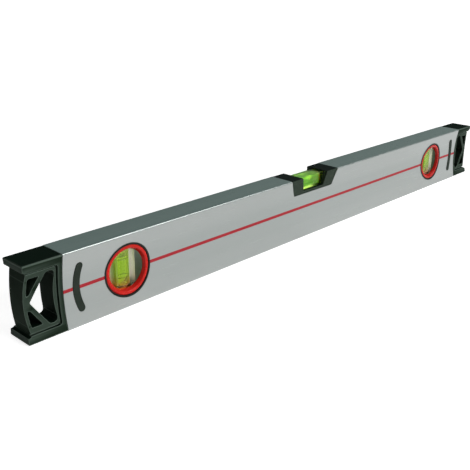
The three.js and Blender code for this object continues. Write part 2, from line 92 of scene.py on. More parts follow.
def rounded(corners, cuts, steps=8):
    """Closed outline through corners. Each corner becomes the curve (1-t)^2 a + 2t(1-t) corner + t^2 b,
    where a and b lie at the corner's cut along its two edges."""
    corners = np.asarray(corners, float)
    cuts = np.asarray(cuts, float)[:, None]
    before = np.roll(corners, 1, axis=0) - corners
    after = np.roll(corners, -1, axis=0) - corners
    start = corners + before / np.linalg.norm(before, axis=1, keepdims=True) * cuts
    end = corners + after / np.linalg.norm(after, axis=1, keepdims=True) * cuts
    t = np.linspace(0, 1, steps + 1)[None, :, None]
    curves = (1 - t) ** 2 * start[:, None] + 2 * t * (1 - t) * corners[:, None] + t ** 2 * end[:, None]
    points = curves.reshape(-1, 2)
    return points[np.linalg.norm(points - np.roll(points, 1, axis=0), axis=1) > 1e-6]


def circle(radius, steps=96):
    """Closed outline of points at equal angles round a circle."""
    turn = np.linspace(0, 2 * pi, steps, endpoint=False)
    return np.column_stack([radius * np.cos(turn), radius * np.sin(turn)])


def crescent(half, arc_steps=40, tip_steps=10):
    """Outline in X and Z about the window's centre: the outer arc at the lock's radius plus half, a half
    circle round the upper tip, the inner arc back at the radius less half, and the lower tip."""
    angle = np.arcsin(lock_tip_height / lock_radius)
    sweep = np.linspace(-angle, angle, arc_steps + 1)
    turn = np.linspace(0, pi, tip_steps + 1)[1:-1]
    tip_x = lock_radius * np.cos(angle)
    outer = np.column_stack([np.cos(sweep), np.sin(sweep)]) * (lock_radius + half)
    upper = [tip_x, lock_tip_height] + half * np.column_stack([np.cos(angle + turn), np.sin(angle + turn)])
    inner = np.column_stack([np.cos(sweep), np.sin(sweep)])[::-1] * (lock_radius - half)
    lower = [tip_x, -lock_tip_height] - half * np.column_stack([np.cos(turn - angle), np.sin(turn - angle)])
    return np.concatenate([outer, upper, inner, lower])


def bar(outline, low, high, axis):
    """A flat outline carried straight along an axis from low to high, with a flat face at each end."""
    count = len(outline)
    points = np.empty((2, count, 3))
    points[:, :, [i for i in range(3) if i != axis]] = outline
    points[0, :, axis] = low
    points[1, :, axis] = high
    here = np.arange(count)
    after = np.roll(here, -1)
    walls = np.column_stack([here, after, after + count, here + count])
    return points.reshape(-1, 3), [*walls.tolist(), here[::-1].tolist(), (here + count).tolist()]


def made(name, points, faces):
    """A new object from points in millimetres about mid-height, welded, with its faces turned outwards."""
    mesh = bpy.data.meshes.new(name)
    mesh.from_pydata((points + [0, 0, mid_height]) * mm, [], faces)
    work = bmesh.new()
    work.from_mesh(mesh)
    bmesh.ops.remove_doubles(work, verts=work.verts, dist=0.0005 * mm)
    bmesh.ops.recalc_face_normals(work, faces=work.faces)
    work.to_mesh(mesh)
    work.free()
    thing = bpy.data.objects.new(name, mesh)
    bpy.context.scene.collection.objects.link(thing)
    return thing


def applied(thing):
    """The object with its modifiers worked into its mesh."""
    seen = thing.evaluated_get(bpy.context.evaluated_depsgraph_get())
    worked = bpy.data.meshes.new_from_object(seen)
    thing.modifiers.clear()
    old = thing.data
    thing.data = worked
    bpy.data.meshes.remove(old)
    worked.name = thing.name
    return thing


def combined(thing, tool, operation="DIFFERENCE"):
    """The object cut by, joined to or kept inside a tool, which is then put away."""
    step = thing.modifiers.new("work", "BOOLEAN")
    step.operation = operation
    step.object = tool
    step.solver = "EXACT"
    applied(thing)
    bpy.data.objects.remove(tool)
    return thing


def smooth(thing, sharp_from=32):
    """Smooth shading, broken where two faces meet at more than the angle, with flat faces kept flat."""
    thing.data.shade_smooth()
    thing.data.set_sharp_from_angle(angle=radians(sharp_from))
    evened = thing.modifiers.new("flat faces stay flat", "WEIGHTED_NORMAL")
    evened.keep_sharp = True
    return thing


def fitted(thing, finish, node, body="level"):
    """Gives a piece its finish and its place: it stands for a CAD node and rides on that node's body."""
    thing.data.materials.clear()
    thing.data.materials.append(finish)
    thing.data.polygons.foreach_set("material_index", np.zeros(len(thing.data.polygons), int))
    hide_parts(node)
    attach(thing, body)
    return thing


def grain_group():
    """Fine grain and broad clouds from two noises on Object coordinates. Draw stretches both along an
    axis, as a die draws metal or a gate feeds plastic."""
    group = bpy.data.node_groups.new("surface_grain", "ShaderNodeTree")
    for name, kind in [("Grains per metre", "NodeSocketFloat"), ("Clouds per metre", "NodeSocketFloat"),
                       ("Draw", "NodeSocketVector")]:
        group.interface.new_socket(name=name, in_out="INPUT", socket_type=kind)
    for name in ["Grain", "Clouds"]:
        group.interface.new_socket(name=name, in_out="OUTPUT", socket_type="NodeSocketFloat")
    nodes, links = group.nodes, group.links
    given = nodes.new("NodeGroupInput")
    given.location = (-700, 0)
    out = nodes.new("NodeGroupOutput")
    out.location = (400, 0)
    place = nodes.new("ShaderNodeTexCoord")
    place.location = (-700, 220)
    drawn = nodes.new("ShaderNodeVectorMath")
    drawn.operation = "MULTIPLY"
    drawn.location = (-450, 120)
    links.new(place.outputs["Object"], drawn.inputs[0])
    links.new(given.outputs["Draw"], drawn.inputs[1])
    for row, (size, result, detail) in enumerate([("Grains per metre", "Grain", 3.0),
                                                  ("Clouds per metre", "Clouds", 2.0)]):
        noise = nodes.new("ShaderNodeTexNoise")
        noise.location = (-150, 150 - 300 * row)
        noise.inputs["Detail"].default_value = detail
        links.new(drawn.outputs["Vector"], noise.inputs["Vector"])
        links.new(given.outputs[size], noise.inputs["Scale"])
        links.new(noise.outputs["Fac"], out.inputs[result])
    return group


surface_grain = grain_group()


def feed(tree, socket, value):
    """Gives a socket the output of another node, a colour or a number."""
    if isinstance(value, bpy.types.NodeSocket):
        tree.links.new(value, socket)
    elif isinstance(value, tuple):
        socket.default_value = (*value, 1)
    else:
        socket.default_value = value


def reckoned(tree, operation, first, second=0, clamp=False):
    """The result of a Math node. Each of its two values is a number or an output."""
    node = tree.nodes.new("ShaderNodeMath")
    node.operation = operation
    node.use_clamp = clamp
    feed(tree, node.inputs[0], first)
    feed(tree, node.inputs[1], second)
    return node.outputs[0]


def ranged(tree, value, start, end, low, high):
    """Goes from low to high as the value goes from start to end, and no further."""
    node = tree.nodes.new("ShaderNodeMapRange")
    for name, number in [("From Min", start), ("From Max", end), ("To Min", low), ("To Max", high)]:
        node.inputs[name].default_value = number
    tree.links.new(value, node.inputs["Value"])
    return node.outputs["Result"]


def spread(tree, noise, low, high):
    """Goes from low to high over the middle of a noise, where most of its values lie."""
    return ranged(tree, noise, 0.3, 0.7, low, high)


def mixed(tree, share, first, second):
    """Goes from the first to the second with the share, as a colour where either is a plain colour and as
    a number where neither is. Each may be an output."""
    colours = isinstance(first, tuple) or isinstance(second, tuple)
    node = tree.nodes.new("ShaderNodeMix")
    node.data_type = "RGBA" if colours else "FLOAT"
    place, result = (6, 2) if colours else (2, 0)
    tree.links.new(share, node.inputs["Factor"])
    feed(tree, node.inputs[place], first)
    feed(tree, node.inputs[place + 1], second)
    return node.outputs[result]


def part_of(tree, source, vector, axis):
    """One axis's part of a vector that a source node puts out."""
    parts = tree.nodes.new("ShaderNodeSeparateXYZ")
    tree.links.new(tree.nodes.new(source).outputs[vector], parts.inputs[0])
    return parts.outputs[axis]


def finish_of(name, dark, light, roughness, grains, clouds, relief, draw=(1, 1, 1), specular=0.5):
    """A Principled finish: dark to light with the clouds, rough from low to high with the grain, and a
    relief in millimetres that follows the grain."""
    finish = bpy.data.materials.new(name)
    finish.use_nodes = True
    tree = finish.node_tree
    shader = tree.nodes["Principled BSDF"]
    grain = tree.nodes.new("ShaderNodeGroup")
    grain.node_tree = surface_grain
    grain.inputs["Grains per metre"].default_value = grains
    grain.inputs["Clouds per metre"].default_value = clouds
    grain.inputs["Draw"].default_value = draw
    tint = dark
    if dark != light:
        tint = mixed(tree, spread(tree, grain.outputs["Clouds"], 0, 1), dark, light)
    feed(tree, shader.inputs["Base Color"], tint)
    feed(tree, shader.inputs["Roughness"], spread(tree, grain.outputs["Grain"], *roughness))
    shader.inputs["Specular IOR Level"].default_value = specular
    if relief:
        bump = tree.nodes.new("ShaderNodeBump")
        bump.inputs["Distance"].default_value = relief * mm
        tree.links.new(grain.outputs["Grain"], bump.inputs["Height"])
        tree.links.new(bump.outputs["Normal"], shader.inputs["Normal"])
    return finish


anodised = finish_of(
    "anodised_aluminium", (0.36, 0.385, 0.375), (0.41, 0.43, 0.42), (0.27, 0.38), 2600, 40, 0.012,
    draw=(0.012, 1, 1))


def near(tree, value, centre, reach):
    """One where a value lies within reach of the centre, and nought elsewhere. The edge between them is
    0.00005 wide: a twentieth of a millimetre for a place, and next to nothing for a normal."""
    distance = reckoned(tree, "ABSOLUTE", reckoned(tree, "SUBTRACT", value, centre))
    return ranged(tree, distance, reach - 0.025 * mm, reach + 0.025 * mm, 1, 0)


def overlaid(finish, share, colour, roughness):
    """Lays a colour and a roughness over a finish, as far as the share goes."""
    tree = finish.node_tree
    for name, value in [("Base Color", colour), ("Roughness", roughness)]:
        socket = tree.nodes["Principled BSDF"].inputs[name]
        under = socket.links[0].from_socket if socket.is_linked else tuple(socket.default_value)[:3]
        tree.links.new(mixed(tree, share, under, value), socket)


def painted_line(finish):
    """Paint on a band round mid-height, only as far out as the outer faces of the long sides: there the
    colour is red, the metal is covered and the roughness is the paint's."""
    tree = finish.node_tree
    height = part_of(tree, "ShaderNodeTexCoord", "Object", "Z")
    depth = part_of(tree, "ShaderNodeTexCoord", "Object", "Y")
    band = near(tree, height, mid_height * mm, line_half_width * mm)
    inner = near(tree, depth, 0, (half_width - waist_depth - side_wall / 4) * mm)
    paint = reckoned(tree, "SUBTRACT", band, inner, clamp=True)
    overlaid(finish, paint, (0.36, 0.005, 0.015), 0.55)
    feed(tree, tree.nodes["Principled BSDF"].inputs["Metallic"], reckoned(tree, "SUBTRACT", 1, paint))


painted_line(anodised)


def trough(low, floor, high, top, radius):
    """Outline in X and Z of a form that widens from its floor up, with the two lower corners rounded."""
    return rounded([(-low, floor), (low, floor), (high, top), (-high, top)], [radius, radius, 0, 0])


profile = made("box_profile_piece",
               *bar(section(0, 0, profile_corner), -profile_end, profile_end, 0))
bore = made("bore", *bar(section(side_wall, edge_wall, inner_corner),
                         -profile_end - overrun, profile_end + overrun, 0))
combined(profile, bore)
across = half_width + overrun
notch_slope = (notch_top_width - notch_floor_width) / 2 / notch_depth
notch_high = notch_top_width / 2 + notch_slope * overrun
notch_low = notch_floor_width / 2
notch = trough(notch_low, notch_floor, notch_high, mid_height + overrun, notch_round)
combined(profile, made("notch", *bar(notch, -across, across, 1)))
for side in (-1, 1):
    window = circle(window_radius) + [side * window_x, 0]
    combined(profile, made("window", *bar(window, -across, across, 1)))
    slot = (crescent(lock_width / 2) + [window_x, 0]) * [side, 1]
    combined(profile, made("slot", *bar(slot, -across, across, 1)))
fitted(smooth(profile, 25), anodised, "box_profile")

# End caps: one black moulding for each end, with a hanging hole between the two ribs of its K, a shallow
# pocket round it on both faces, and a hollow spigot pushed into the profile. The moulding has softened
# edges and a fine eroded texture. Its finish paints highlights along the edges and paints shade on the
# upward faces.
cap_end = 300
cap_inset = 0.2
cap_half_width = half_width - cap_inset
cap_top = mid_height - cap_inset
cap_corner = 1.4
flange_end_height = 5
flange_end_round = 0.8
end_wall = 2.4
end_wall_setback = 2.8
end_wall_bulge = 2.5
cap_inner_wall = 5
rib_width = 3
rib_meet_setback = 5.2
rib_meet = cap_end - rib_meet_setback
opening_top_width = 6.8
opening_round = 4.5
sharp_round = 1.2
pocket_half = 22.1
opening_rim = 3.1
triangle_rim = 4.7
pocket_depth = 1.1
groove_depth = 1.6
groove_width = 1
opening_bulge = 2.1
rib_draft = 1.9
pocket_setback = 3.4
pocket_round = 2.6
cap_ease = 0.4
spigot_wall = 2
spigot_past_locks = 2
lock_tip_x = window_x + (lock_radius ** 2 - lock_tip_height ** 2) ** 0.5
spigot_tip = lock_tip_x - lock_width / 2 - spigot_past_locks
slice_height = 1.4


def curve(start, bend, end, steps=10):
    """The curve (1-t)^2 start + 2t(1-t) bend + t^2 end, as points from start to end."""
    t = np.linspace(0, 1, steps + 1)[:, None]
    return (1 - t) ** 2 * np.array(start) + 2 * t * (1 - t) * np.array(bend) + t ** 2 * np.array(end)


def painted_shade_on_upward_faces(finish, colour, roughness):
    """Paints shade on the faces that look up, to within 26 degrees: lays a colour and a roughness over them.
    """
    tree = finish.node_tree
    upward = part_of(tree, "ShaderNodeNewGeometry", "True Normal", "Z")
    overlaid(finish, near(tree, upward, 1, 0.1), colour, roughness)


def cap_outline():
    """Side view in X and Z: straight flanges above and below, joined by a bowed end wall that is set in
    from them on a hollow curve, which meets the bow at the bow's own slope."""
    under = cap_top - flange_end_height
    wall_x = cap_end - end_wall_setback
    wall_z = under - end_wall_setback
    nose_x = cap_end - flange_end_round
    nose_z = cap_top - flange_end_round
    half = [curve((nose_x, -cap_top), (cap_end, -cap_top), (cap_end, -nose_z)),
            curve((cap_end, -under), (wall_x - 2 * end_wall_bulge * end_wall_setback / wall_z, -under),
                  (wall_x, -wall_z))]
    bow = curve((wall_x, -wall_z), (wall_x + 2 * end_wall_bulge, 0), (wall_x, wall_z), 40)[1:-1]
    lower = np.concatenate(half)
    upper = (lower * [1, -1])[::-1]
    corner = [[profile_end + seam, -cap_top]]
    return np.concatenate([corner, lower, bow, upper, np.multiply(corner, [1, -1])])


def end_wall_inside(height):
    """How far along X the inner face of the bowed end wall lies at a height."""
    wall_z = cap_top - flange_end_height - end_wall_setback
    return cap_end - end_wall_setback - end_wall + end_wall_bulge * (1 - (height / wall_z) ** 2)


def middle_opening():
    """The hanging hole: from the point where the ribs meet out to a wall next to the profile, which bows
    towards the ribs by its bulge times 1 less the square of the height's share."""
    wall = profile_end + cap_inner_wall
    far = wall + opening_top_width
    top = pocket_half - opening_rim
    heights = np.linspace(top, -top, 15)[1:-1]
    bowed = np.column_stack([wall + opening_bulge * (1 - (heights / top) ** 2), heights])
    half_round = opening_round / 2
    corners = [(rib_meet, 0), (far, top), (wall, top), *bowed.tolist(), (wall, -top), (far, -top)]
    return rounded(corners, [sharp_round, half_round, opening_round, *[0] * len(bowed), opening_round,
                             half_round])


def triangle_opening(up, width):
    """The opening between a rib of a width and the bowed end wall, above the ribs or, turned over, below
    them."""
    meet = np.array([rib_meet, 0])
    far = np.array([profile_end + cap_inner_wall + opening_top_width, pocket_half - opening_rim])
    along = (far - meet) / np.linalg.norm(far - meet)
    start = meet + np.array([along[1], -along[0]]) * width
    lean = along[0] / along[1]
    top = pocket_half - triangle_rim
    apex_z = start[1] + width
    apex_x = start[0] + lean * width
    levels = np.linspace(apex_z, top, 9)
    bowed = np.column_stack([end_wall_inside(levels), levels])
    corner = (start[0] + lean * (top - start[1]), top)
    cut = (bowed[0, 0] - apex_x) / 2
    cuts = [cut, cut, *[0] * (len(bowed) - 2), sharp_round, sharp_round]
    outline = rounded([(apex_x, apex_z), *bowed.tolist(), corner], cuts) * [1, up]
    return outline[::up]


def grid_faces(rows, columns, close_rows=False):
    """Quads over a grid of points whose columns run round, from row to row, and from the last row to the
    first where the rows close."""
    row = np.arange(rows if close_rows else rows - 1)[:, None]
    column = np.arange(columns)[None, :]
    beside = (column + 1) % columns
    above = (row + 1) % rows
    corners = [row * columns + column, row * columns + beside, above * columns + beside,
               above * columns + column]
    return np.stack([np.broadcast_to(c, (len(row), columns)) for c in corners], -1).reshape(-1, 4).tolist()


def drafted(face, middle):
    """A cutter across the cap, as the two halves of a mould shape it: the face's outline on both sides,
    going straight to the middle outline at mid-depth."""
    depths = ((face, -across), (middle, 0), (face, across))
    rows = [np.insert(outline, 1, depth, axis=1) for outline, depth in depths]
    points = np.arange(3 * len(face))
    ends = [points[:len(face)][::-1].tolist(), points[-len(face):].tolist()]
    return np.concatenate(rows), grid_faces(3, len(face)) + ends


def eased(thing, width, segments=2):
    """The object with each sharp edge rounded off over a width in millimetres. The roundings' faces take
    the second of two empty material places."""
    thing.data.materials.append(None)
    thing.data.materials.append(None)
    step = thing.modifiers.new("ease", "BEVEL")
    step.width = width * mm
    step.segments = segments
    step.limit_method = "ANGLE"
    step.angle_limit = radians(30)
    step.use_clamp_overlap = False
    step.material = 1
    return applied(thing)


def points_of(thing):
    """The points of an object's mesh, in millimetres."""
    flat = np.empty(len(thing.data.vertices) * 3)
    thing.data.vertices.foreach_get("co", flat)
    return flat.reshape(-1, 3) / mm


def painted_edge_highlight(thing, half_wide, half_high, radius):
    """Marks where the cap's finish paints a highlight, from 0 to 1. On an eased edge it is twice the share
    of eased faces round the point, less 1. In a long rounded corner it is 2ab / (aa + bb), where a and b are
    how far the point lies inside the corner across and up."""
    mesh = thing.data
    corner_points = np.empty(len(mesh.loops), int)
    mesh.loops.foreach_get("vertex_index", corner_points)
    eased_faces = np.empty(len(mesh.polygons), int)
    mesh.polygons.foreach_get("material_index", eased_faces)
    face_sizes = np.empty(len(mesh.polygons), int)
    mesh.polygons.foreach_get("loop_total", face_sizes)
    count = len(mesh.vertices)
    share = np.bincount(corner_points, np.repeat(eased_faces, face_sizes), count)
    share = share / np.bincount(corner_points, minlength=count)
    points = np.abs(points_of(thing) - [0, 0, mid_height])
    out = np.clip(points[:, 1] - half_wide + radius, 0, None)
    up = np.clip(points[:, 2] - half_high + radius, 0, None)
    corner = 2 * out * up / np.clip(out ** 2 + up ** 2, 0.001, None)
    mesh.attributes.new("painted_edge_highlight", "FLOAT", "POINT").data.foreach_set(
        "value", np.clip(np.maximum(corner, 2 * share - 1), 0, 1))
    mesh.polygons.foreach_set("material_index", np.zeros(len(mesh.polygons), int))
    mesh.materials.clear()
    return thing


def drawn_in(thing, start, full):
    """Slices a flat-sided object by height and draws its sides in to the waist: a point moves towards the
    middle by the waist at its height, times a share that grows from 0 at start to 1 at full. What easing
    has pushed past the end of the cap goes back to it."""
    work = bmesh.new()
    work.from_mesh(thing.data)
    for level in np.arange(-cap_top + slice_height, cap_top, slice_height) + mid_height:
        bmesh.ops.bisect_plane(work, geom=[*work.verts, *work.edges, *work.faces],
                               plane_co=(0, 0, level * mm), plane_no=(0, 0, 1), dist=1e-7)
    work.to_mesh(thing.data)
    work.free()
    points = points_of(thing)
    share = np.clip((np.abs(points[:, 1]) - start) / (full - start), 0, 1)
    points[:, 1] -= np.sign(points[:, 1]) * share * waist(points[:, 2] - mid_height)
    points[:, 0] = np.clip(points[:, 0], -cap_end, cap_end)
    thing.data.vertices.foreach_set("co", (points * mm).ravel())
    thing.data.update()
    return thing


def rectangle(half_one, half_two):
    """The four corners of a rectangle about the origin."""
    return np.array([(-1, -1), (1, -1), (1, 1), (-1, 1)]) * [half_one, half_two]


def box_outline(half_one, half_two, radius, steps=6):
    """A rectangle about the origin with rounded corners."""
    return rounded(rectangle(half_one, half_two), [radius] * 4, steps)


def cap_moulding(name):
    """The right end cap: its side view carried across, kept inside a rounded bar, pocketed on both faces
    and drawn in to the waist, with the spigot joined on."""
    cap = made(name, *bar(cap_outline(), -across, across, 1))
    combined(cap, made("opening", *bar(middle_opening(), -across, across, 1)))
    for up in (1, -1):
        triangle = drafted(triangle_opening(up, rib_width), triangle_opening(up, rib_width + rib_draft))
        combined(cap, made("opening", *triangle))
    blank = box_outline(cap_half_width, cap_top, cap_corner)
    combined(cap, made("blank", *bar(blank, profile_end, cap_end + overrun, 0)), "INTERSECT")
    pocket_x = profile_end + pocket_setback
    pocket = box_outline(cap_end + overrun - pocket_x, pocket_half, pocket_round) + [cap_end + overrun, 0]
    panel = box_outline(cap_end + overrun - pocket_x - groove_width, pocket_half - groove_width,
                        pocket_round) + [cap_end + overrun, 0]
    for face in (-1, 1):
        low, high = sorted([face * (cap_half_width - pocket_depth), face * across])
        combined(cap, made("pocket", *bar(pocket, low, high, 1)))
        low, high = sorted([face * (cap_half_width - pocket_depth - groove_depth), face * across])
        groove = made("groove", *bar(pocket, low, high, 1))
        combined(groove, made("panel", *bar(panel, -across - overrun, across + overrun, 1)))
        combined(cap, groove)
    # Marks the eased edges and long rounded corners where the finish paints highlights.
    painted_edge_highlight(eased(cap, cap_ease, 4), cap_half_width, cap_top, cap_corner)
    drawn_in(cap, 0, cap_half_width - pocket_depth)
    side, edge = side_wall + slip_fit, edge_wall + slip_fit
    spigot = made("spigot", *bar(section(side, edge, inner_corner, 24, 4), spigot_tip,
                                 profile_end + 2 * seam, 0))
    hollow = section(side + spigot_wall, edge + spigot_wall, inner_corner, 24, 4)
    combined(spigot, made("hollow", *bar(hollow, spigot_tip - overrun, profile_end - spigot_wall, 0)))
    slot = crescent(lock_width / 2) + [window_x, 0]
    combined(spigot, made("slot", *bar(slot, -across, across, 1)))
    return combined(cap, spigot, "UNION")


cap_black = finish_of(
    "cap_moulding_black", (0.008, 0.016, 0.009), (0.014, 0.025, 0.016), (0.6, 0.78), 3200, 70, 0.03,
    specular=0.03)
# Painted shade: the cap's upward faces are painted darker than the rest.
painted_shade_on_upward_faces(cap_black, (0.002, 0.008, 0.004), 0.7)
# Painted highlight: the marked edges and corners are painted lighter and glossier.
painted_highlight_node = cap_black.node_tree.nodes.new("ShaderNodeAttribute")
painted_highlight_node.attribute_name = "painted_edge_highlight"
overlaid(cap_black, painted_highlight_node.outputs["Fac"], (0.095, 0.13, 0.105), 0.4)
right_cap = cap_moulding("right_end_cap_piece")
left_cap = right_cap.copy()
left_cap.data = right_cap.data.copy()
left_cap.name = "left_end_cap_piece"
left_cap.data.transform(Matrix.Rotation(pi, 4, "Z"))
bpy.context.scene.collection.objects.link(left_cap)
for cap, node in [(left_cap, "left_end_cap"), (right_cap, "right_end_cap")]:
    fitted(smooth(cap), cap_black, node)

# Cap locks: crescent keys of soft black plastic, concentric with the windows. Each is pressed through
# its slot in the profile into the spigot of the cap, and stands a little proud with a softened rim.
lock_proud = 0.35
lock_round = 0.3


def lock_key():
    """Crescent outlines stacked in depth: from the middle line of the inner end out to the rim, straight
    out through the wall, a quarter round over the rim, and in to the middle line of the face."""
    half = lock_width / 2 - slip_fit
    inside = side_wall + slip_fit + spigot_wall
    turn = np.linspace(0, pi / 2, 5)
    halves = [0, half, *(half - lock_round * (1 - np.cos(turn))), 0]
    depths = [inside, inside, *(lock_round * (1 - np.sin(turn)) - lock_proud), -lock_proud]
    rows = [np.insert(crescent(h), 1, d, axis=1) for h, d in zip(halves, depths)]
    points = np.concatenate(rows) + [window_x, 0, 0]
    points[:, 1] += waist(points[:, 2]) - half_width
    return points, grid_faces(len(rows), len(rows[0]))


lock_black = finish_of(
    "lock_key_black", (0.014, 0.021, 0.015), (0.021, 0.030, 0.022), (0.6, 0.75), 2400, 90, 0.02,
    specular=0.2)
places = [("left", "front", -1, 1), ("left", "back", -1, -1),
          ("right", "front", 1, 1), ("right", "back", 1, -1)]
for end, face, along_x, along_y in places:
    points, faces = lock_key()
    node = f"{end}_{face}_cap_lock"
    key = made(f"{node}_piece", points * [along_x, along_y, 1], faces)
    fitted(smooth(key), lock_black, node)

# Window bezels and red rings: a black bezel with a thin lip lines each window, and a glossy red ring
# snaps into it, rounded at the front and running down as a funnel to the vial.
sleeve_radius = window_radius - slip_fit
sleeve_wall = 0.55
sleeve_bore = sleeve_radius - sleeve_wall
vial_half_depth = 6.6
bezel_depth = half_width - vial_half_depth - slip_fit
bezel_shelf = 0.7
bezel_front = -0.6
bezel_lip_width = 0.7
bezel_lip = window_radius + bezel_lip_width
bezel_lip_round = 0.25
bezel_chamfer = 0.1
bezel_opening = 15.4
red_width = 3.95
red_outer = sleeve_bore - slip_fit
red_inner = red_outer - red_width
red_crest = 1.5
red_crest_depth = 1.15
red_lip = 0.7


def turned(outline, segments=96, ring=True):
    """An outline of radius against height carried round the vertical. A ring's outline closes on itself,
    and a solid one's starts and ends on the axis, where its points weld into poles."""
    outline = np.asarray(outline, float)
    turn = np.linspace(0, 2 * pi, segments, endpoint=False)
    radius, height = outline[:, :1], outline[:, 1:]
    points = np.stack([radius * np.cos(turn), radius * np.sin(turn), height + 0 * turn], axis=-1)
    return points.reshape(-1, 3), grid_faces(len(outline), segments, ring)


def facing(outline):
    """A ring turned about the window's axis and laid on the waisted front side: a point at a depth y moves
    back by the waist at its height, times 1 less y's share of the bezel's depth."""
    points, faces = turned(outline, 128)
    points = points[:, [0, 2, 1]]
    back = waist(points[:, 2]) * (1 - points[:, 1] / bezel_depth)
    points[:, 1] += back - half_width
    return points + [window_x, 0, 0], faces


turn = np.linspace(0, pi / 2, 5)
lip_curve = np.column_stack([bezel_lip - bezel_lip_round * (1 - np.cos(turn)),
                             bezel_front + bezel_lip_round * (1 - np.sin(turn))])
bezel_outline = [(bezel_opening, bezel_depth - bezel_shelf), (bezel_opening, bezel_depth),
                 (sleeve_radius, bezel_depth), (sleeve_radius, -seam), (bezel_lip, -seam), *lip_curve,
                 (sleeve_bore + bezel_chamfer, bezel_front), (sleeve_bore, bezel_front + bezel_chamfer),
                 (sleeve_bore, bezel_depth - bezel_shelf)]
red_back = bezel_depth - bezel_shelf - slip_fit
turn = np.linspace(0, -5 * pi / 6, 17)
crest = np.column_stack([red_outer - red_crest + red_crest * np.cos(turn),
                         red_crest_depth + red_crest * np.sin(turn)])
red_outline = [(red_inner, red_back), (red_outer, red_back), *crest, (red_inner, red_back - red_lip)]
bezel_black = finish_of(
    "bezel_black", (0.006, 0.007, 0.005), (0.010, 0.011, 0.008), (0.4, 0.55), 3000, 80, 0.01, specular=0.2)
red_gloss = finish_of(
    "red_ring_gloss", (0.54, 0.012, 0.008), (0.64, 0.018, 0.011), (0.2, 0.32), 900, 60, 0.006,
    specular=0.18)
for end, face, along_x, along_y in places:
    points, faces = facing(bezel_outline)
    node = f"{end}_{face}_bezel"
    bezel = made(f"{node}_piece", points * [along_x, along_y, 1], faces)
    fitted(smooth(bezel), bezel_black, node)
    points, faces = facing(red_outline)
    node = f"{end}_{face}_red_ring"
    red_ring = made(f"{node}_piece", points * [along_x, along_y, 1], faces)
    fitted(smooth(red_ring), red_gloss, node)

# Vial carriers: a thick ring of grey plastic between the two bezels of each window, with a seat cut
# through it that holds the plumb vial upright. Its shaded wall shows beside the vial, and its grey is
# painted lighter than the plastic, as painted light on that shaded wall.
carrier_wall = 3.6
carrier_inner = sleeve_radius - carrier_wall
plumb_block_width = 17.8
seat_margin = 0.5
seat_half_width = plumb_block_width / 2 + slip_fit
seat_half_height = ((sleeve_radius - seat_margin) ** 2 - seat_half_width ** 2) ** 0.5
block_corner = 0.6
carrier_outline = [(carrier_inner, -vial_half_depth), (sleeve_radius, -vial_half_depth),
                   (sleeve_radius, vial_half_depth), (carrier_inner, vial_half_depth)]
# Painted light: the carrier's grey is set lighter than its plastic, so that its shaded wall shows lighter.
carrier_grey_painted_lighter = finish_of(
    "carrier_grey_painted_lighter", (0.25, 0.3, 0.3), (0.31, 0.37, 0.37), (0.45, 0.6), 2600, 80, 0.02)
for end, along_x in [("left", -1), ("right", 1)]:
    points, faces = turned(carrier_outline, 128)
    carrier = made(f"{end}_vial_carrier_piece", points[:, [0, 2, 1]] + [along_x * window_x, 0, 0], faces)
    seat = box_outline(seat_half_width, seat_half_height, block_corner / 2) + [along_x * window_x, 0]
    combined(carrier, made("seat", *bar(seat, -across, across, 1)))
    fitted(smooth(carrier), carrier_grey_painted_lighter, f"{end}_vial_carrier")

# Vials: acrylic blocks bored from one end, clear for the plumb vials and green for the lying one, each
# with two black line rings, a liquid with a dye and a painted glow, and an air bubble. A red-brown seal
# on the nose of a plug, amber in the plumb vials and clear in the lying one, closes the bore.
line_width = 0.5
line_thickness = 0.14
seal_thickness = 1.4
seal_nose = 3.2
plug_recess = 0.1
plug_chamfer = 0.2
block_ease = 0.2
wetting = 0.01
plumb_plug_length = 3.65
plumb_length = 2 * (seat_half_height - slip_fit)
plumb = {"bore": 5.8, "width": plumb_block_width, "length": plumb_length,
         "cavity": plumb_length - 2 * (plumb_plug_length + plug_recess)}
lying_plug_length = 9.7
lying_length = 46
lying = {"bore": 4.9, "width": 11.8, "length": lying_length,
         "cavity": lying_length - 2 * (lying_plug_length + plug_recess)}
line_from_end = 6
plumb_line = plumb["cavity"] / 2 - line_from_end
lying_line = 7.2
lying_height = 20.95
cad_line_thickness = 0.45
bubble_clearance = 2 * slip_fit + cad_line_thickness
acrylic_index = 1.49
liquid_index = 1.4


def clear(name, index, roughness, tint):
    """A clear finish with a plain index of refraction, whose polish varies a little over the surface."""
    finish = finish_of(name, tint, tint, roughness, grains=300, clouds=60, relief=0)
    shader = finish.node_tree.nodes["Principled BSDF"]
    shader.inputs["IOR"].default_value = index
    shader.inputs["Transmission Weight"].default_value = 1
    shader.inputs["Specular Tint"].default_value = (0.55, 0.6, 0.25, 1)
    return finish


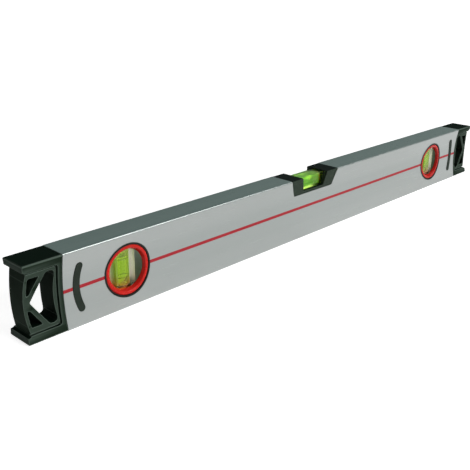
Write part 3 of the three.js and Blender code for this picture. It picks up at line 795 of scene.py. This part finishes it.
def dyed_with_painted_glow(name, let_through, painted_glows):
    """Vial liquid: a fluorescent dye soaks up what its colour doesn't let through, and the liquid gives off
    a painted glow of its own, though it is no lamp. The glow is plain where one colour is given. With more,
    it goes from colour to colour with the share of the plumb vial's cavity that is below the place: painted
    orange at the bottom, yellow-green in the middle and paler at the top."""
    finish = clear(name, liquid_index, (0.0, 0.01), (1, 1, 1))
    tree = finish.node_tree
    shader = tree.nodes["Principled BSDF"]
    soak = tree.nodes.new("ShaderNodeVolumeAbsorption")
    soak.inputs["Color"].default_value = (*let_through, 1)
    soak.inputs["Density"].default_value = 620
    tree.links.new(soak.outputs["Volume"], tree.nodes["Material Output"].inputs["Volume"])
    # Painted glow: the liquid gives off light of its own.
    shader.inputs["Emission Strength"].default_value = 0.16
    if len(painted_glows) == 1:
        shader.inputs["Emission Color"].default_value = (*painted_glows[0][1], 1)
        return finish
    half = plumb["cavity"] / 2
    ramp = tree.nodes.new("ShaderNodeValToRGB")
    for index, (place, colour) in enumerate(painted_glows):
        stop = ramp.color_ramp.elements[index] if index < 2 else ramp.color_ramp.elements.new(place)
        stop.position = place
        stop.color = (*colour, 1)
    height = part_of(tree, "ShaderNodeTexCoord", "Object", "Z")
    share = ranged(tree, height, (mid_height - half) * mm, (mid_height + half) * mm, 0, 1)
    tree.links.new(share, ramp.inputs["Fac"])
    tree.links.new(ramp.outputs["Color"], shader.inputs["Emission Color"])
    return finish


def on_sawn_faces(finish, colour, roughness):
    """Lays a colour and a roughness over the faces that look either way along X, to within 26 degrees."""
    tree = finish.node_tree
    sideways = reckoned(tree, "ABSOLUTE", part_of(tree, "ShaderNodeNewGeometry", "True Normal", "X"))
    overlaid(finish, near(tree, sideways, 1, 0.1), colour, roughness)


acrylic = clear("clear_acrylic", acrylic_index, (0.0, 0.03), (0.8, 0.77, 0.68))
on_sawn_faces(acrylic, (0.66, 0.54, 0.44), 0.7)
# The liquids' glow colours are painted light.
yellow_green = dyed_with_painted_glow("yellow_green_liquid", (0.8, 0.87, 0),
                    [(0, (1, 0.3, 0.02)), (0.3, (0.42, 0.92, 0.05)), (0.7, (0.45, 1, 0.06)),
                     (1, (0.75, 1, 0.2))])
leaf_green = dyed_with_painted_glow("leaf_green_liquid", (0.62, 0.88, 0.3), [(0, (0.4, 0.85, 0.14))])
air = clear("bubble_air", 1 / liquid_index, (0.0, 0.01), (1, 1, 1))
amber_plug = clear("amber_plug", acrylic_index, (0.1, 0.2), (0.8, 0.16, 0.02))
green_acrylic = clear("green_acrylic", acrylic_index, (0.275, 0.285), (0.78, 0.93, 0.2))
seal_brown = finish_of(
    "seal_rubber", (0.3, 0.055, 0.025), (0.38, 0.085, 0.035), (0.4, 0.55), 1500, 200, 0.01)
line_black = finish_of(
    "line_lacquer", (0.006, 0.012, 0.004), (0.01, 0.02, 0.006), (0.3, 0.45), 1500, 200, 0)


def vial_block(vial):
    """A rounded rectangle carried up the block's length and bored to the blind end of its cavity."""
    half = vial["length"] / 2
    outline = box_outline(vial["width"] / 2, vial_half_depth, block_corner)
    block = eased(made("block", *bar(outline, -half, half, 2)), block_ease)
    return combined(block, made("bore", *bar(circle(vial["bore"]), -half - overrun, vial["cavity"] / 2, 2)))


def plug_outline(vial):
    """Radius against height: the plug's body, a step, and the nose that carries the seal."""
    low = plug_recess - vial["length"] / 2
    nose = -vial["cavity"] / 2
    face = nose - seal_thickness - slip_fit
    body = vial["bore"] + wetting
    return [(0, low), (body - plug_chamfer, low), (body, low + plug_chamfer), (body, face),
            (seal_nose, face), (seal_nose, nose - plug_chamfer), (seal_nose - plug_chamfer, nose), (0, nose)]


def seal_outline(vial):
    """Radius against height: a flat-sided ring whose outer edge is a half ellipse."""
    middle = -vial["cavity"] / 2 - seal_thickness / 2
    inner = seal_nose + slip_fit
    outer = vial["bore"] + wetting
    turn = np.linspace(-pi / 2, pi / 2, 9)
    swell = seal_thickness / 4
    rim = np.column_stack([outer - swell + swell * np.cos(turn), middle + seal_thickness / 2 * np.sin(turn)])
    return [(inner, middle - seal_thickness / 2), *rim, (inner, middle + seal_thickness / 2)]


def line_outline(vial):
    """Radius against height: a thin band against the wall of the bore."""
    outer = vial["bore"] - slip_fit
    inner = outer - line_thickness
    half = line_width / 2
    return [(inner, -half), (outer, -half), (outer, half), (inner, half)]


def liquid_outline(vial):
    """Radius against height: the cavity, a hundredth of a millimetre into what it wets, so that light
    passes from the liquid into the acrylic with no air between."""
    reach = vial["cavity"] / 2 + wetting
    wide = vial["bore"] + wetting
    return [(0, -reach), (wide, -reach), (wide, reach), (0, reach)]


def plumb_bubble_outline():
    """Radius against height: a drop pressed flat against the blind end, rounded more below than above."""
    radius = plumb["bore"] - bubble_clearance
    height, round_below, round_above = 4.6, 1.7, 0.85
    high = plumb["cavity"] / 2 - slip_fit
    low = high - height
    below = curve((radius - round_below, low), (radius, low), (radius, low + round_below), 12)
    above = curve((radius, high - round_above), (radius, high), (radius - round_above, high), 8)
    return [(0, low), *below, *above, (0, high)]


def lying_bubble(segments=72, stations=48):
    """A drop along the top of the lying bore. At each station along its length, set by the cosine of an
    angle, its section is an ellipse, scaled by that angle's sine and flattened where it meets the bore."""
    radius = lying["bore"] - bubble_clearance
    half_length, half_wide, half_high = 6.5, 4.1, 2.3
    centre = radius - half_high
    station = np.linspace(0, pi, stations)[:, None]
    turn = np.linspace(0, 2 * pi, segments, endpoint=False)[None, :]
    swell = np.sin(station)
    free = swell * half_wide * half_high / np.hypot(half_high * np.cos(turn), half_wide * np.sin(turn))
    lean = centre * np.sin(turn)
    wall = -lean + np.sqrt(lean ** 2 + radius ** 2 - centre ** 2)
    reach = np.minimum(free, wall)
    points = np.stack([half_length * np.cos(station) + 0 * turn, reach * np.cos(turn),
                       centre + reach * np.sin(turn)], axis=-1)
    return points.reshape(-1, 3) + [0, 0, lying_height], grid_faces(stations, segments)


def placed(thing, name, move):
    """A vial's piece, made standing round mid-height, moved to its place by a matrix in its mesh."""
    home = Matrix.Translation((0, 0, -mid_height * mm))
    thing.data.transform(Matrix.Translation((0, 0, mid_height * mm)) @ move @ home)
    thing.name = name
    thing.data.name = name
    return thing


def vial_pieces(where, vial, move, lines, block_finish, plug_finish, liquid_finish):
    """Makes a vial's pieces standing round mid-height and moves each to its place."""
    fitted(smooth(placed(vial_block(vial), f"{where}_block_piece", move)),
           block_finish, f"{where}_vial_block")
    plug = made("plug", *turned(plug_outline(vial), ring=False))
    fitted(smooth(placed(plug, f"{where}_plug_piece", move)),
           plug_finish, f"{where}_vial_plug")
    seal = made("seal", *turned(seal_outline(vial)))
    fitted(smooth(placed(seal, f"{where}_seal_piece", move)),
           seal_brown, f"{where}_vial_seal")
    for node, height in lines:
        points, faces = turned(line_outline(vial))
        ring = made("ring", points + [0, 0, height], faces)
        fitted(smooth(placed(ring, f"{node}_piece", move)), line_black, node)
    liquid = made("liquid", *turned(liquid_outline(vial), ring=False))
    smooth(placed(liquid, f"{where}_liquid", move))
    liquid.data.materials.append(liquid_finish)
    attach(liquid, "level")


for end, turn_round in [("left", pi), ("right", 0)]:
    move = Matrix.Rotation(turn_round, 4, "Z") @ Matrix.Translation((window_x * mm, 0, 0))
    vial_pieces(end, plumb, move, [(f"{end}_upper_line_ring", plumb_line),
                                   (f"{end}_lower_line_ring", -plumb_line)],
                acrylic, amber_plug, yellow_green)
    bubble = made("bubble", *turned(plumb_bubble_outline(), ring=False))
    fitted(smooth(placed(bubble, f"{end}_bubble_piece", move)),
           air, f"{end}_bubble", body=f"{end}_vial_bubble")
laid_over = Matrix.Translation((0, 0, lying_height * mm)) @ Matrix.Rotation(-pi / 2, 4, "Y")
vial_pieces("centre", lying, laid_over, [("centre_left_line_ring", lying_line),
                                         ("centre_right_line_ring", -lying_line)],
            green_acrylic, acrylic, leaf_green)
fitted(smooth(made("centre_bubble_piece", *lying_bubble())),
       air, "centre_bubble", body="centre_vial_bubble")

# Horizontal vial's housing: a black moulding that fills the notch, with solid ends, a low bar front and
# back, and a pocket that takes the vial from below. A retainer closes the pocket inside the profile.
housing_top = mid_height - seam
housing_floor = notch_floor + slip_fit
housing_roof = 1.3
housing_bar = 2.6
housing_window_top = 17.7
housing_window_floor = 14.5
housing_window_round = 0.8
housing_ease = 0.22
pocket_top = housing_top - housing_roof
pocket_half_length = lying_length / 2 + slip_fit
pocket_half_depth = vial_half_depth + slip_fit
skirt_floor = 11.3
skirt_inset = 1.5
skirt_half_length = notch_floor_width / 2 - skirt_inset
skirt_half_depth = half_width - side_wall - 2 * slip_fit
straight_wall = 0.2


def housing_moulding(name):
    """The notch's own shape, a fit smaller, carried across and kept inside a rounded bar, with a skirt
    joined on below, and the window and the vial's pocket cut out. Its sides are drawn in to the waist, but
    for a straight wall next to the pocket."""
    low = notch_low + notch_slope * slip_fit - slip_fit
    high = notch_top_width / 2 - notch_slope * seam - slip_fit
    filling = trough(low, housing_floor, high, housing_top, notch_round)
    housing = made(name, *bar(filling, -across, across, 1))
    blank = box_outline(half_width - seam, housing_top, profile_corner)
    combined(housing, made("blank", *bar(blank, -notch_top_width, notch_top_width, 0)), "INTERSECT")
    skirt = rectangle(skirt_half_length, skirt_half_depth)
    combined(housing, made("skirt", *bar(skirt, skirt_floor, housing_floor + seam, 2)), "UNION")
    bar_top = housing_floor + housing_bar
    slope = (housing_window_top - housing_window_floor) / (housing_top - bar_top)
    wide = housing_window_floor + slope * (housing_top + overrun - bar_top)
    window = trough(housing_window_floor, bar_top, wide, housing_top + overrun, housing_window_round)
    combined(housing, made("window", *bar(window, -across, across, 1)))
    pocket = rectangle(pocket_half_length, pocket_half_depth)
    combined(housing, made("pocket", *bar(pocket, skirt_floor - overrun, pocket_top, 2)))
    eased(housing, housing_ease)
    return drawn_in(housing, pocket_half_depth + straight_wall, half_width - waist_depth)


housing_black = finish_of(
    "housing_black", (0.024, 0.036, 0.026), (0.044, 0.059, 0.045), (0.5, 0.68), 1500, 700, 0.035,
    specular=0.06)
# Painted shade: the housing's upward faces are painted darker than the rest.
painted_shade_on_upward_faces(housing_black, (0.003, 0.006, 0.004), 0.6)
housing = housing_moulding("centre_vial_housing_piece")
fitted(smooth(housing), housing_black, "centre_vial_housing")
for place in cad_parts["centre_vial_retainer"].material_slots:
    place.material = housing_black

# Studio: a plain white floor out to the horizon, a broad soft light low in front and a weaker one low
# behind, a small light high on the right that shines along the rounded top edge, and a sky that is white
# to the camera and, in reflections, pale at the horizon and grey overhead.
floor_reach = 14
floor_mesh = bpy.data.meshes.new("floor")
floor_corners = np.insert(rectangle(floor_reach, floor_reach), 2, 0, axis=1)
floor_mesh.from_pydata(floor_corners, [], [(0, 1, 2, 3)])
floor = bpy.data.objects.new("floor", floor_mesh)
bpy.context.scene.collection.objects.link(floor)


def seen_directly(tree, kinds):
    """One for rays of these kinds, nought for all others."""
    path = tree.nodes.new("ShaderNodeLightPath")
    total = path.outputs[kinds[0]]
    for kind in kinds[1:]:
        total = reckoned(tree, "MAXIMUM", total, path.outputs[kind])
    return total


floor_white = bpy.data.materials.new("floor_white")
floor_white.use_nodes = True
floor_tree = floor_white.node_tree
floor_shader = floor_tree.nodes["Principled BSDF"]
floor_shader.inputs["Base Color"].default_value = (0.8, 0.8, 0.8, 1)
floor_shader.inputs["Roughness"].default_value = 1
floor_shader.inputs["Specular IOR Level"].default_value = 0
floor_shader.inputs["Emission Color"].default_value = (1, 1, 1, 1)
floor_glow = 0.82
floor_seen = seen_directly(floor_tree, ["Is Camera Ray", "Is Glossy Ray", "Is Transmission Ray"])
feed(floor_tree, floor_shader.inputs["Emission Strength"],
     reckoned(floor_tree, "MULTIPLY", floor_seen, floor_glow))
floor.data.materials.append(floor_white)

world = bpy.data.worlds.new("studio")
bpy.context.scene.world = world
world.use_nodes = True
sky = world.node_tree
background = sky.nodes["Background"]
direction_height = part_of(sky, "ShaderNodeTexCoord", "Generated", "Z")


def by_height(reach, horizon, overhead):
    """Goes from the horizon's value to the overhead one as a direction's height goes from 0 to reach."""
    return ranged(sky, direction_height, 0, reach, horizon, overhead)


mirrored = seen_directly(sky, ["Is Glossy Ray"])
pale_band = 0.14
cool_overhead = mixed(sky, by_height(pale_band, 0, 1), (1, 1, 1), (0.76, 1, 0.95))
feed(sky, background.inputs["Color"], mixed(sky, mirrored, (1, 1, 1), cool_overhead))
sky_light = mixed(sky, mirrored, by_height(0.6, 0.14, 0.08), by_height(pale_band, 0.95, 0.29))
sky_seen = seen_directly(sky, ["Is Camera Ray", "Is Transmission Ray"])
feed(sky, background.inputs["Strength"], mixed(sky, sky_seen, sky_light, 1))


def studio_light(name, towards, energy, angle):
    """A lamp without falloff that shines from a direction and is as wide as the angle."""
    lamp = bpy.data.objects.new(name, bpy.data.lights.new(name, "SUN"))
    lamp.data.energy = energy
    lamp.data.angle = radians(angle)
    lamp.rotation_mode = "QUATERNION"
    lamp.rotation_quaternion = Vector(towards).to_track_quat("Z", "Y")
    bpy.context.scene.collection.objects.link(lamp)
    return lamp


front_light = studio_light("front_light", (0.45, -0.85, 0.27), 3.1, 50)
front_light.visible_glossy = False
back_light = studio_light("back_light", (0.35, 0.88, 0.3), 0.9, 60)
back_light.visible_glossy = False
edge_light = studio_light("edge_light", (0.46, -0.52, 0.71), 1.5, 32)
edge_light.visible_diffuse = False

camera = bpy.data.objects.new("camera", bpy.data.cameras.new("camera"))
camera.location = (-0.50997, -0.3945, 0.2384)
camera.rotation_mode = "QUATERNION"
looking = Vector((0.6787, 0.6424, -0.3559))
camera.rotation_quaternion = looking.to_track_quat("-Z", "Y") @ Quaternion((0, 0, 1), radians(0.668))
camera.data.sensor_width = 36
camera.data.lens = 55.35
camera.data.clip_start = 0.01
camera.data.clip_end = 60
bpy.context.scene.collection.objects.link(camera)
bpy.context.scene.camera = camera
bpy.context.scene.view_settings.view_transform = "Standard"

bpy.context.view_layer.update()
